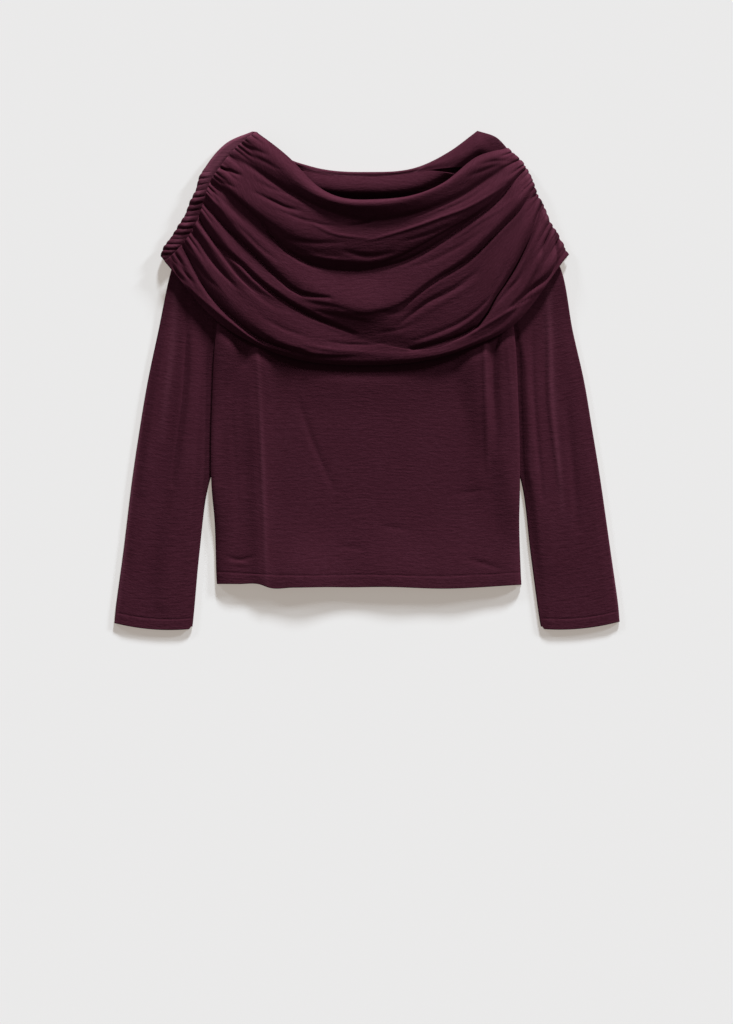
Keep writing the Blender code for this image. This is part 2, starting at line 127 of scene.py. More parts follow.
# The front's folds, in order from the lower edge to the neck. The first two numbers say how far
# down each shoulder seam the fold line starts. The y columns place it at stations between the
# seams, and the z columns say how high it stands above the cloth under it.
STATIONS = (0, 1 / 8, 1 / 4, 1 / 2, 3 / 4, 7 / 8, 1)
HEIGHT_STATIONS = (0, 1 / 4, 1 / 2, 3 / 4, 1)
SWAGS = (
    Swag("lower_edge", 1.000, 1.000, 85, 44, 21, 45, 82, 1, 1.2, 1.2, 1.8, 3, 2, 1),
    Swag("edge_roll", 0.930, 0.930, 87, 47, 27, 48, 87, 3, 3.2, 3.6, 4.4, 5.5, 4.5, 3),
    Swag("trough_f", 0.855, 0.865, 90, 50, 33, 51, 92, 1, 4, 4.5, 5.5, 5.8, 5, 0.5),
    Swag("crest_f", 0.810, 0.830, 107, 56, 38, 54, 99, 4.5, 8, 8.6, 6, 6, 7, 4),
    Swag("trough_e", 0.745, 0.790, 123, 76, 44, 56, 106, 1.5, 8, 8.4, 5.6, 6, 7.5, 1),
    Swag("crest_e", 0.700, 0.720, 138, 92, 50, 58, 115, 5, 8.5, 8.2, 5.6, 5.8, 7.5, 4),
    Swag("trough_d", 0.650, 0.655, 142, 104, 57, 57, 117, 1.5, 7, 7.6, 5.7, 5.2, 7, 1),
    Swag("crest_d", 0.605, 0.615, 161, 117, 76, 76, 136, 6, 11, 10.8, 9.2, 8.3, 11, 5),
    Swag("trough_c", 0.545, 0.575, 183, 129, 90, 147, 193, 2, 9, 10.7, 12.8, 10.2, 9.5, 1),
    Swag("crest_c", 0.490, 0.510, 200, 149, 104, 160, 213, 7, 13.5, 13.4, 15.7, 13.3, 14, 6),
    Swag("trough_b", 0.425, 0.402, 225, 178, 153, 203, 239, 2, 10.5, 11.5, 10, 12.4, 10, 1),
    Swag("slope_b", 0.395, 0.388, 235, 194, 167, 213, 247, 5, 14, 16, 15.5, 17, 14, 3),
    Swag("crest_b", 0.360, 0.375, 246, 214, 196, 226, 258, 7, 17, 20.2, 20.5, 19.7, 16, 4),
    Swag("trough_a", 0.200, 0.335, 280, 250, 221, 246, 277, 2, 14, 18.5, 19.7, 18.8, 12, 2.5),
    Swag("neck_roll", 0.070, 0.255, 300, 262, 244, 270, 299, 6, 18, 24, 27, 23.4, 17, 6),
    Swag("neck_edge", 0.000, 0.220, 313, 269, 252, 276, 311, 2, 12, 19, 23, 19, 12, 3),
)
BACK_NECK_Y = (314, 299, 291, 300, 320)
BACK_LOWER_Y = (108, 75, 55, 77, 110)

# How deep the collar's back is folded over inside the neck, as a share of its own depth
FACING_STATIONS = (0, 0.15, 0.5, 0.75, 0.9, 1)
FACING_DEPTHS = (0, 0.03, 0.035, 0.045, 0.165, 0.19)

# Cross sections of the body from the hem to the shoulders
BODY_SECTIONS = (
    Section("hem", -210, 216, -285, -290, -289, -291, -286),
    Section("above_hem", -211, 215, -265, -269, -268, -270, -266),
    Section("hip", -213, 213, -200, -202, -202, -202, -200),
    Section("waist", -218, 214, -135, -136, -136, -136, -135),
    Section("rib", -217, 212, -40, -40, -40, -40, -40),
    Section("underarm", -210, 205, 75, 70, 70, 70, 75),
    Section("chest", -188, 184, 160, 150, 148, 150, 160),
    Section("shoulder", -168, 166, 235, 225, 215, 225, 235),
)
BACK_TOP = Section("back_neck", -150, 150, 285, 294, 286, 294, 285)
FRONT_TOP = Section("front_neck", -150, 150, 285, 262, 246, 262, 285)

# Cross sections of each sleeve from the cuff to the shoulder
LEFT_SLEEVE = (
    SleeveSection("cuff", -353, -340, -245, -348),
    SleeveSection("above_cuff", -350, -310, -242, -316),
    SleeveSection("forearm", -340, -237, -235, -240),
    SleeveSection("elbow", -328, -139, -223, -149),
    SleeveSection("above_elbow", -317, -65, -197, -80),
    SleeveSection("upper_arm", -306, 0, -176, -10),
    SleeveSection("underarm", -291, 71, -166, 60),
    SleeveSection("arm", -273, 155, -162, 145),
    SleeveSection("cap", -250, 212, -158, 205),
    SleeveSection("shoulder", -222, 275, -150, 275),
)
RIGHT_SLEEVE = (
    SleeveSection("cuff", 353, -338, 244, -348),
    SleeveSection("above_cuff", 350, -307, 239, -314),
    SleeveSection("forearm", 340, -237, 229, -238),
    SleeveSection("elbow", 326, -139, 218, -149),
    SleeveSection("above_elbow", 314, -65, 196, -80),
    SleeveSection("upper_arm", 303, 0, 174, -10),
    SleeveSection("underarm", 287, 71, 162, 60),
    SleeveSection("arm", 271, 155, 160, 145),
    SleeveSection("cap", 237, 212, 156, 205),
    SleeveSection("shoulder", 207, 275, 148, 275),
)
CUFF_BOW = 4.5

# Soft folds that run down the front, each at x, with the rows between which it shows
Crease = namedtuple("Crease", "name x half_width y_low y_high rise")
FRONT_CREASES = (
    Crease("left_valley", -170, 15, -140, 110, -1.0),
    Crease("left_ridge", -146, 14, -290, 110, 1.6),
    Crease("right_valley", 182, 13, -110, 110, -1.0),
    Crease("right_ridge", 158, 14, -150, 110, 1.4),
)
Lift = namedtuple("Lift", "name x half_width rise")
HEM_LIFTS = (
    Lift("left_of_middle", -88, 46, 4.6),
    Lift("right_of_middle", 46, 52, 3.0),
    Lift("right", 128, 36, 2.0),
)
HEM_BULGE_REACH = 60.0
HEM_LOFT = 1.2


def smooth_curve(stations, values, at):
    """The cubic through the values, whose slope at each station comes from its neighbours."""
    stations = np.asarray(stations, float)
    values = np.asarray(values, float)
    at = np.clip(np.asarray(at, float), stations[0], stations[-1])
    slopes = np.gradient(values, stations, axis=0)
    low = np.clip(np.searchsorted(stations, at, side="right") - 1, 0, len(stations) - 2)
    span = stations[low + 1] - stations[low]
    part = (at - stations[low]) / span
    extra = (1,) * (values.ndim - 1)
    span = span.reshape(span.shape + extra)
    part = part.reshape(part.shape + extra)
    start = values[low] * (2 * part**3 - 3 * part**2 + 1) + slopes[low] * span * (part**3 - 2 * part**2 + part)
    end = values[low + 1] * (3 * part**2 - 2 * part**3) + slopes[low + 1] * span * (part**3 - part**2)
    return start + end


def ease(value, low, high):
    """0 below low, 1 above high, and a smooth step between."""
    part = np.clip((value - low) / (high - low), 0, 1)
    return part * part * (3 - 2 * part)


def along(spots, share):
    """Points at shares of the length of the curve through the spots."""
    points = np.array(spots, float)
    steps = np.linalg.norm(np.diff(points, axis=0), axis=1)
    lengths = np.concatenate([[0], np.cumsum(steps)])
    return smooth_curve(lengths / lengths[-1], points, share)


def back_cowl_cover(x, y):
    """1 over the collar's back piece, easing to 0 below its lower edge."""
    left = LEFT_OUTLINE[-1]
    right = RIGHT_SEAM[-1]
    edge_y = (left.y,) + BACK_LOWER_Y + (right.y,)
    edge_x = left.x + np.array(STATIONS) * (right.x - left.x)
    return ease(y - smooth_curve(edge_x, edge_y, x), -110, -32)


def outline_x(sections, x_name, y_name, y):
    """Where an outline of the body or a sleeve is at height y."""
    ys = [getattr(section, y_name) for section in sections]
    xs = [getattr(section, x_name) for section in sections]
    return smooth_curve(ys, xs, y)


def sleeve_cover(x, y):
    """1 where the body lies on a sleeve that is tucked under it, easing to 0 towards the middle."""
    left = outline_x(LEFT_SLEEVE, "x_inner", "y_inner", y)
    right = outline_x(RIGHT_SLEEVE, "x_inner", "y_inner", y)
    beside = ease(left - x, -52, -12) + ease(x - right, -52, -12)
    return beside * ease(y, -240, -168)


def neck_depth(x, y):
    """How far down the back a point is from the back neck."""
    left, right = LEFT_OUTLINE[0], RIGHT_SEAM[0]
    neck_x = left.x + np.array(STATIONS) * (right.x - left.x)
    return smooth_curve(neck_x, (left.y,) + BACK_NECK_Y + (right.y,), x) - y


def near_neck(x, y):
    """1 along the back neck, fading down the back."""
    return np.exp(-((np.maximum(neck_depth(x, y), 0) / NECK_REACH) ** 2))


def neck_rise(x, y):
    """The back stands up in a soft roll inside the neck, but not where the front's shoulders lie on it."""
    depth = neck_depth(x, y)
    roll = np.sin(np.pi / 2 * np.clip(depth / NECK_CREST, 0, 1)) * (1 - ease(depth, NECK_CREST, NECK_FALL_END))
    return NECK_RISE * roll * ease(x, -112, -70) * (1 - ease(x, 150, 185))


def back_height(x, y):
    """Middle of the back panel's wall."""
    lift = neck_rise(x, y) + NECK_CLEARANCE * near_neck(x, y)
    cover = COWL_LIFT * back_cowl_cover(x, y) + (SLEEVE_PRESSED + LAYER_GAP) * sleeve_cover(x, y)
    return KNIT / 2 + cover + lift


def cowl_ground(x, y):
    """What the collar's front lies on: lower in the middle, where no sleeve is tucked under the body."""
    middle = (1 - ease(np.abs(x), 45, 120)) * ease(neck_depth(x, y), 40, 90)
    return COWL_GROUND - CENTRE_DROP * middle


def front_creases(x, y):
    """Height that the front's soft folds add."""
    rise = 0 * x
    for crease in FRONT_CREASES:
        length = ease(y, crease.y_low - 30, crease.y_low + 20) * (1 - ease(y, crease.y_high, crease.y_high + 60))
        rise = rise + crease.rise * length * np.exp(-(((x - crease.x) / crease.half_width) ** 2))
    return rise


def fold_over(path, radius):
    """How far a cloth has advanced, and risen, this length of path after its fold began."""
    turn = np.clip(path / radius, 0, np.pi)
    beyond = np.maximum(path - np.pi * radius, 0)
    before = np.minimum(path, 0)
    return before + radius * np.sin(turn) - beyond, radius * (1 - np.cos(turn))


def strip_path(down):
    """Length of cloth from the start of the left side fold to the ruched seam."""
    strip = np.linalg.norm(along(LEFT_SEAM, down) - along(LEFT_OUTLINE, down), axis=-1)
    on_arc = SIDE_FOLD_RADIUS * (np.pi - np.arcsin(np.clip(1 - strip / SIDE_FOLD_RADIUS, 0, 1)))
    whole = on_arc + np.maximum(strip - SIDE_FOLD_RADIUS, 0)
    return LEAST_FOLD + (whole - LEAST_FOLD) * ease(down, 0, 0.03)


def back_cowl_plan(share, up):
    """Plan of the collar's back at a share of its width and a share of its depth."""
    left = along(LEFT_OUTLINE, 1 - up)
    right = along(RIGHT_SEAM, 1 - up)
    chord = left + (right - left) * share[:, None]
    drops = []
    for edge_y, row in ((BACK_LOWER_Y, 1), (BACK_NECK_Y, 0)):
        ends = along(LEFT_OUTLINE, row)[1], along(RIGHT_SEAM, row)[1]
        line = (ends[0],) + edge_y + (ends[1],)
        chord_y = ends[0] + (ends[1] - ends[0]) * share
        drops.append(chord_y - smooth_curve(STATIONS, line, share))
    chord[:, 1] -= drops[0] + (drops[1] - drops[0]) * up
    return chord


# Fine grids: the rows and columns of each shell
COWL_COLUMNS = 164
COWL_ROWS = (8, 8, 14, 14, 12, 14, 16, 20, 20, 34, 16, 22, 44, 36, 14)
BACK_COWL_COLUMNS = 100
BACK_COWL_ROWS = 230
BODY_COLUMNS = 170
BODY_ROWS = 226
BACK_BODY_COLUMNS = 110
BACK_BODY_ROWS = 130
SLEEVE_ROWS = 250
SLEEVE_TOP_POINTS = 44
SLEEVE_END_POINTS = 9

# Where the wall of a shell thins to a round rim: shares of half its thickness in from the edge
RIM_STEPS = (0.0, 0.08, 0.3, 0.65)

# Hem and cuffs: a doubled band with a line of stitching above it
HEM_BAND = 17.0
CUFF_BAND = 15.0
CUFF_CORNER = 3.5
FOLD_LIFT = 1.0
GATHER_PITCH = 7.6
GATHER_REACH = (10.0, 40.0)
GATHER_DEPTH = (0.2, 2.8)
GATHER_HALF_WIDTH = 1.9
GATHER_BULGE = 1.7
BAND_EXTRA = 0.1
BODY_LOFT = 2.4
BODY_LOFT_REACH = 24.0
SLEEVE_ROUNDING = 14.0
BAND_GROOVE = 0.4
GROOVE_HALF_WIDTH = 1.1

# How far the hem's edge is above or below its even line, where the pressed fold steps it
HEM_STEP = (Spot(-212, 0), Spot(-180, 1.6), Spot(-150, 2.8), Spot(-136, -1.4), Spot(-104, 0), Spot(-60, 0.6),
            Spot(-20, -0.4), Spot(40, 0.5), Spot(110, -0.4), Spot(218, 0))
HEM_STEP_REACH = 26.0

# Small folds that lie on the front of the collar, each along its own curve. Rise is negative for
# a crease and positive for a roll.
Fold = namedtuple("Fold", "name half_width rise spots")
COWL_FOLDS = (
    Fold("bottom_a", 4.2, -2.6, (Spot(-197, 317), Spot(-164, 299), Spot(-129, 275), Spot(-94, 254),
        Spot(-59, 237), Spot(0, 223))),
    Fold("bottom_a_right", 4.2, -2.6, (Spot(0, 223), Spot(46, 227), Spot(81, 236), Spot(109, 247),
        Spot(137, 260), Spot(161, 276), Spot(197, 299))),
    Fold("bottom_b", 3.4, -4.4, (Spot(-217, 278), Spot(-192, 260), Spot(-168, 239), Spot(-134, 206),
        Spot(-118, 186), Spot(-81, 163), Spot(-13, 153))),
    Fold("bottom_b_right", 3.4, -4.8, (Spot(-13, 153), Spot(46, 164), Spot(81, 180), Spot(109, 198),
        Spot(137, 218), Spot(186, 254), Spot(216, 292))),
    Fold("bottom_c", 2.9, -4.8, (Spot(-232, 250), Spot(-213, 230), Spot(-192, 209), Spot(-161, 180),
        Spot(-122, 142), Spot(-97, 122), Spot(-52, 115))),
    Fold("bottom_c_right", 3.0, -5.6, (Spot(234, 275), Spot(220, 248), Spot(188, 214), Spot(136, 164),
        Spot(98, 141), Spot(67, 118), Spot(49, 102))),
    Fold("bottom_d", 3.0, -5.2, (Spot(-235, 229), Spot(-223, 206), Spot(-207, 186), Spot(-183, 169),
        Spot(-158, 144), Spot(-98, 100), Spot(-18, 65))),
    Fold("bottom_d_right", 2.8, -6.8, (Spot(242, 247), Spot(230, 202), Spot(210, 162), Spot(182, 120),
        Spot(155, 76), Spot(116, 57), Spot(63, 43))),
    Fold("bottom_f", 2.6, -4.2, (Spot(-258, 192), Spot(-248, 170), Spot(-237, 146), Spot(-220, 120),
        Spot(-178, 79), Spot(-153, 59), Spot(-87, 40))),
    Fold("bottom_f_right", 2.5, -4.4, (Spot(260, 208), Spot(265, 183), Spot(262, 156), Spot(249, 142),
        Spot(234, 131), Spot(202, 104))),
    Fold("edge_line_left", 2.2, 1.3, (Spot(-267, 150), Spot(-248, 130), Spot(-213, 99), Spot(-171, 66),
        Spot(-147, 50), Spot(-94, 38))),
    Fold("peak_upper", 3.2, -1.4, (Spot(-175, 330), Spot(-155, 321), Spot(-136, 313))),
    Fold("peak_lower", 3.0, -1.0, (Spot(-169, 317), Spot(-147, 307), Spot(-122, 293))),
    Fold("shoulder_dash", 2.5, -2.8, (Spot(-214, 298), Spot(-195, 293), Spot(-176, 286))),
    Fold("seam_dash_one", 2.0, -1.9, (Spot(-225, 271), Spot(-216, 260), Spot(-207, 247))),
    Fold("seam_dash_two", 2.4, -1.2, (Spot(-214, 286), Spot(-200, 276), Spot(-183, 268))),
    Fold("shelf_one", 3.2, -0.8, (Spot(-155, 278), Spot(-133, 267), Spot(-105, 257))),
    Fold("shelf_two", 3.0, -1.8, (Spot(-157, 262), Spot(-133, 250), Spot(-111, 240), Spot(-91, 236))),
    Fold("shelf_three", 2.8, -0.9, (Spot(-125, 237), Spot(-97, 226), Spot(-69, 218), Spot(-41, 214))),
    Fold("shelf_line", 2.4, 0.8, (Spot(-83, 222), Spot(-52, 206), Spot(0, 197))),
    Fold("on_neck_roll", 3.0, -2.0, (Spot(-25, 215), Spot(-7, 218), Spot(13, 227))),
    Fold("band_b_dash", 3.4, -1.4, (Spot(-31, 180), Spot(0, 173), Spot(35, 178))),
    Fold("band_b_top", 3.4, -0.9, (Spot(-113, 197), Spot(-80, 192), Spot(-31, 192))),
    Fold("band_b_low", 3.0, 0.8, (Spot(-94, 176), Spot(-52, 169), Spot(-10, 167))),
    Fold("slope_b_left", 3.2, -0.9, (Spot(-203, 253), Spot(-186, 236), Spot(-169, 218))),
    Fold("slope_c_left", 3.4, -1.0, (Spot(-189, 222), Spot(-167, 202), Spot(-147, 183), Spot(-125, 166))),
    Fold("after_c", 3.2, -0.7, (Spot(-94, 110), Spot(-52, 104), Spot(-14, 94))),
    Fold("after_c_low", 3.4, -0.9, (Spot(-69, 96), Spot(-38, 90), Spot(-1, 82))),
    Fold("left_e", 3.0, -2.4, (Spot(-244, 214), Spot(-235, 195), Spot(-225, 178), Spot(-210, 159),
        Spot(-183, 130))),
    Fold("left_e_fine", 2.6, -0.9, (Spot(-239, 166), Spot(-225, 146), Spot(-206, 127))),
    Fold("left_g", 2.4, -2.2, (Spot(-266, 173), Spot(-256, 153), Spot(-242, 135))),
    Fold("corner_g", 2.4, -2.0, (Spot(-273, 166), Spot(-266, 150), Spot(-253, 136))),
    Fold("slope_d_one", 3.0, -0.8, (Spot(-169, 130), Spot(-147, 113), Spot(-119, 96))),
    Fold("slope_d_two", 3.2, -0.7, (Spot(-147, 88), Spot(-115, 71), Spot(-80, 59))),
    Fold("slope_d_three", 2.8, -0.8, (Spot(-59, 54), Spot(-24, 50), Spot(25, 51))),
    Fold("slope_d_four", 2.8, 0.7, (Spot(-94, 52), Spot(-52, 43), Spot(0, 40))),
    Fold("peak_right", 3.0, -1.2, (Spot(155, 300), Spot(179, 306), Spot(206, 306))),
    Fold("peak_right_low", 3.0, -1.0, (Spot(141, 284), Spot(164, 293), Spot(186, 302))),
    Fold("second_line", 2.2, 1.5, (Spot(4, 195), Spot(39, 205), Spot(74, 216), Spot(109, 229),
        Spot(137, 239), Spot(165, 254), Spot(192, 271))),
    Fold("above_second", 3.0, -1.0, (Spot(81, 226), Spot(113, 239), Spot(144, 254), Spot(169, 272))),
    Fold("band_b_right", 3.0, -0.8, (Spot(46, 192), Spot(81, 202), Spot(116, 216))),
    Fold("below_b_right", 3.4, -0.9, (Spot(60, 155), Spot(102, 172), Spot(137, 191), Spot(169, 214))),
    Fold("below_b_line", 2.6, 0.8, (Spot(123, 197), Spot(158, 222), Spot(186, 239), Spot(207, 255))),
    Fold("third_right", 2.9, -2.6, (Spot(155, 152), Spot(133, 135), Spot(111, 122), Spot(88, 111),
        Spot(63, 93), Spot(43, 76))),
    Fold("third_right_line", 2.6, 1.0, (Spot(158, 142), Spot(133, 125), Spot(102, 108), Spot(74, 90))),
    Fold("centre_fade", 3.6, -0.9, (Spot(11, 96), Spot(35, 94), Spot(60, 99))),
    Fold("centre_low", 3.2, -0.8, (Spot(15, 66), Spot(46, 71), Spot(74, 82))),
    Fold("above_d_right", 2.6, -1.6, (Spot(182, 130), Spot(164, 107), Spot(139, 86), Spot(102, 68),
        Spot(63, 54))),
    Fold("above_d_line", 2.2, 1.0, (Spot(169, 106), Spot(144, 83), Spot(111, 65), Spot(74, 52))),
    Fold("beside_d", 4.0, -1.4, (Spot(195, 166), Spot(186, 142), Spot(172, 122))),
    Fold("right_of_d", 3.0, -2.2, (Spot(220, 163), Spot(213, 144), Spot(197, 125), Spot(183, 108))),
    Fold("right_e", 2.4, -3.6, (Spot(256, 218), Spot(252, 200), Spot(246, 183), Spot(242, 164))),
    Fold("right_seam_fold", 2.2, -2.0, (Spot(234, 279), Spot(230, 261), Spot(223, 244))),
    Fold("right_seam_low", 2.2, -2.0, (Spot(241, 254), Spot(238, 233), Spot(234, 216))),
    Fold("band_right_one", 1.9, -2.2, (Spot(253, 142), Spot(237, 130), Spot(220, 117))),
    Fold("band_right_two", 1.9, -2.0, (Spot(239, 122), Spot(220, 111), Spot(197, 100))),
    Fold("band_right_line", 1.8, 1.4, (Spot(249, 135), Spot(228, 120), Spot(206, 106))),
    Fold("edge_line_right", 2.2, 1.2, (Spot(265, 146), Spot(235, 120), Spot(193, 93), Spot(144, 64))),
)

BODY_FOLDS = (
    Fold("left_ridge", 3.0, 1.5, (Spot(-154, 57), Spot(-150, -27), Spot(-147, -97), Spot(-144, -167),
        Spot(-140, -293))),
    Fold("left_ridge_back", 12.0, 2.0, (Spot(-164, 57), Spot(-160, -27), Spot(-157, -97),
        Spot(-154, -167), Spot(-150, -293))),
    Fold("left_pit", 9.0, -3.4, (Spot(-168, 78), Spot(-168, 50), Spot(-169, 12))),
    Fold("right_pit", 6.5, -2.6, (Spot(178, 88), Spot(178, 59), Spot(178, 20))),
    Fold("left_valley", 13.0, -4.4, (Spot(-176, 71), Spot(-181, 22), Spot(-196, -27), Spot(-204, -69),
        Spot(-209, -132))),
    Fold("right_valley", 6.5, -3.2, (Spot(175, 78), Spot(176, 29), Spot(178, -27), Spot(181, -97))),
    Fold("right_ridge", 3.2, 1.8, (Spot(164, 78), Spot(165, 29), Spot(167, -41), Spot(169, -125))),
    Fold("right_edge_ridge", 2.6, 1.0, (Spot(196, 78), Spot(197, 43), Spot(202, -13), Spot(206, -83))),
    Fold("long_diagonal", 4.0, -0.9, (Spot(-97, -24), Spot(-77, -83), Spot(-45, -156))),
    Fold("left_side_line", 3.0, -0.5, (Spot(-189, 1), Spot(-188, -69), Spot(-183, -139), Spot(-181, -223))),
    Fold("hem_dash_left", 2.6, -1.0, (Spot(-197, -246), Spot(-181, -251), Spot(-158, -247))),
    Fold("hem_dash_low", 2.4, 0.4, (Spot(-192, -255), Spot(-164, -257))),
    Fold("hem_dash_right", 3.4, -0.7, (Spot(141, -250), Spot(164, -257), Spot(189, -264))),
    Fold("belly_dash", 4.0, -0.5, (Spot(18, -204), Spot(60, -209))),
    Fold("belly_dash_low", 4.0, -0.5, (Spot(-41, -232), Spot(-1, -236))),
    Fold("belly_dash_side", 4.0, -0.5, (Spot(123, -160), Spot(169, -153))),
)
SLEEVE_FOLDS = (
    Fold("left_outer_ridge", 8.0, 3.4, (Spot(-277, 127), Spot(-288, 29), Spot(-302, -55),
        Spot(-314, -153))),
    Fold("left_inner_ridge", 14.0, 5.0, (Spot(-238, 127), Spot(-244, 29), Spot(-252, -55),
        Spot(-262, -139), Spot(-279, -223), Spot(-287, -307))),
    Fold("left_crease", 3.2, -3.2, (Spot(-251, 127), Spot(-252, 43), Spot(-256, -27), Spot(-263, -83),
        Spot(-272, -146))),
    Fold("left_inner_line", 4.0, -1.0, (Spot(-230, 57), Spot(-232, -27), Spot(-239, -125),
        Spot(-248, -223))),
    Fold("left_outer_dent", 6.0, -1.8, (Spot(-330, -153), Spot(-337, -223), Spot(-335, -286))),
    Fold("right_inner_ridge", 24.0, 4.6, (Spot(211, 113), Spot(217, 29), Spot(223, -55), Spot(231, -153),
        Spot(245, -251))),
    Fold("right_line", 3.2, 2.4, (Spot(251, 141), Spot(255, 43), Spot(256, -27), Spot(262, -83),
        Spot(270, -146))),
    Fold("right_crease", 3.6, -2.0, (Spot(231, 85), Spot(232, 1), Spot(238, -83), Spot(246, -167))),
    Fold("right_outer_crease", 6.0, -1.4, (Spot(279, -27), Spot(288, -125), Spot(295, -209))),
)

# Painted highlights: lines painted lighter where lit ridges, sleeve rims and the collar's seam strips catch the light,
# and the light stitching inside the neck: rise says how much
BODY_HIGHLIGHTS = (
    Fold("ridge", 2.4, 0.3, (Spot(-154, 64), Spot(-148, -69), Spot(-140, -300))),
    Fold("right_line", 2.0, 0.16, (Spot(165, 71), Spot(167, -27))),
)
SLEEVE_HIGHLIGHTS = (
    Fold("left_line", 5.0, 0.34, (Spot(-265, 155), Spot(-273, 43), Spot(-288, -83))),
    Fold("left_rim", 2.4, 0.7, (Spot(-281, 166), Spot(-322, -97), Spot(-354, -363))),
    Fold("right_line", 6.0, 0.3, (Spot(253, 176), Spot(256, 43), Spot(267, -125))),
    Fold("right_line_low", 4.0, 0.2, (Spot(265, -83), Spot(276, -195))),
    Fold("right_rim", 2.4, 0.7, (Spot(273, 166), Spot(323, -97), Spot(356, -363))),
)
COLLAR_HIGHLIGHTS_AND_STITCH = (
    Fold("left_strip", 8.0, 1.3, (Spot(-155, 354), Spot(-181, 335), Spot(-206, 314),
        Spot(-224, 286), Spot(-235, 261))),
    Fold("left_strip_low", 4.0, 0.4, (Spot(-234, 267), Spot(-251, 222), Spot(-284, 166))),
    Fold("right_seam", 4.0, 0.7, (Spot(172, 345), Spot(197, 328), Spot(217, 306), Spot(231, 275))),
    Fold("right_seam_low", 3.4, 0.5, (Spot(234, 272), Spot(249, 234), Spot(284, 174))),
    Fold("neck_stitch", 1.1, 1.0, (Spot(-94, 299), Spot(-52, 289), Spot(7, 284))),
    Fold("neck_stitch_end", 1.1, 1.0, (Spot(56, 285), Spot(80, 299))),
)


def grid_normals(middle, ring):
    """Unit normals of a grid of points, whose columns join in a ring for a tube."""
    if ring:
        across = np.roll(middle, -1, axis=1) - np.roll(middle, 1, axis=1)
    else:
        across = np.gradient(middle, axis=1)
    normals = np.cross(across, np.gradient(middle, axis=0))
    return normals / np.linalg.norm(normals, axis=2, keepdims=True)


def with_rim_lines(grid, radius):
    """The grid with extra rows close to its first and last ones, and how thick the wall is at each row."""
    ends = []
    for first, second in ((grid[0], grid[1]), (grid[-1], grid[-2])):
        length = np.linalg.norm(second - first, axis=-1, keepdims=True)
        reach = np.minimum(radius, 0.8 * length) / length
        ends.append([first + (second - first) * reach * step for step in RIM_STEPS + (1.0,)])
    thickness = [np.sqrt(1 - (1 - step) ** 2) for step in RIM_STEPS + (1.0,)]
    whole = np.concatenate([ends[0], grid[1:-1], ends[1][::-1]])
    return whole, np.array(thickness + [1.0] * (len(grid) - 2) + thickness[::-1])


def wall_faces(top, bottom):
    """Quads of both sides of a wall, given the point numbers of each side's grid."""
    faces = []
    for side, way in ((top, 1), (bottom, -1)):
        quads = np.stack([side[:-1, :-1], side[:-1, 1:], side[1:, 1:], side[1:, :-1]], axis=-1)
        faces.append(quads.reshape(-1, 4)[:, ::way])
    return np.concatenate(faces)


def cloth_coordinates(grid):
    """How far each point is from the grid's first corner along the cloth, in metres."""
    steps = np.linalg.norm(np.diff(grid, axis=1), axis=2)
    across = np.concatenate([np.zeros((len(grid), 1)), np.cumsum(steps, axis=1)], axis=1)
    across -= across[:, across.shape[1] // 2][:, None]
    steps = np.linalg.norm(np.diff(grid, axis=0), axis=2)
    up = np.concatenate([np.zeros((1, grid.shape[1])), np.cumsum(steps, axis=0)])
    return np.stack([across, up, 0 * up], axis=2) * MM


def make_shell(name, middle, wall, material, ring=False, row_walls=None, pressed=()):
    """A thin knitted shell: a wall of this thickness round its grid of middle points, with round rims."""
    radius = wall / 2
    grid, row_share = with_rim_lines(middle, radius)
    if row_walls is not None:
        ends = len(RIM_STEPS) + 1
        row_share = row_share * np.concatenate([[row_walls[0]] * ends, row_walls[1:-1], [row_walls[-1]] * ends])
    column_share = np.ones(grid.shape[1])
    if not ring:
        turned, column_share = with_rim_lines(grid.transpose(1, 0, 2), radius)
        grid = turned.transpose(1, 0, 2)
    half = (radius * row_share[:, None] * column_share)[..., None]
    offset = grid_normals(grid, ring) * half
    rows, columns = grid.shape[:2]
    top = np.arange(rows * columns).reshape(rows, columns)
    bottom = top + top.size
    bottom = np.where(half[..., 0] == 0, top, bottom)
    knit = cloth_coordinates(grid)
    if ring:
        top, bottom = np.hstack([top, top[:, :1]]), np.hstack([bottom, bottom[:, :1]])
    faces = wall_faces(top, bottom)
    used, faces = np.unique(faces, return_inverse=True)
    points = np.stack([grid + offset, grid - offset]).reshape(-1, 3)[used] * MM
    mesh = bpy.data.meshes.new(name)
    mesh.from_pydata(points.tolist(), [], faces.reshape(-1, 4).tolist())
    mesh.shade_smooth()
    marks = mesh.attributes.new("knit", "FLOAT_VECTOR", "POINT")
    marks.data.foreach_set("vector", np.stack([knit, knit]).reshape(-1, 3)[used].ravel())
    # The pressed attribute holds painted highlights from the given table, and the neck's light stitching.
    light = np.clip(fold_relief(pressed, grid[..., 0], grid[..., 1]), 0, 1)
    marks = mesh.attributes.new("pressed", "FLOAT", "POINT")
    marks.data.foreach_set("value", np.stack([light, light]).reshape(-1)[used])
    mesh.materials.append(material)
    shell = bpy.data.objects.new(name, mesh)
    bpy.context.scene.collection.objects.link(shell)
    return shell


def declare(shell, node):
    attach(shell, "root")
    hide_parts(node)


def distance_to(spots, x, y):
    """Distance from each point to a line through the spots, and how far along the line it is, 0 to 1."""
    line = along(spots, np.linspace(0, 1, 13)) if len(spots) > 2 else np.array(spots, float)
    nearest = np.full(x.shape, np.inf)
    place = np.zeros(x.shape)
    spans = len(line) - 1
    for index in range(spans):
        start, step = line[index], line[index + 1] - line[index]
        part = ((x - start[0]) * step[0] + (y - start[1]) * step[1]) / (step @ step)
        kept = np.clip(part, 0, 1)
        away = np.hypot(x - start[0] - kept * step[0], y - start[1] - kept * step[1])
        closer = away < nearest
        nearest = np.where(closer, away, nearest)
        place = np.where(closer, (index + kept) / spans, place)
    return nearest, place


def fold_relief(folds, x, y):
    """Height that a table of small folds adds, tapering to nothing at their ends."""
    rise = 0 * x
    for fold in folds:
        away, place = distance_to(fold.spots, x, y)
        taper = np.sin(np.pi * (0.08 + 0.84 * place))
        rise = rise + fold.rise * taper * np.exp(-((away / fold.half_width) ** 2))
    return rise


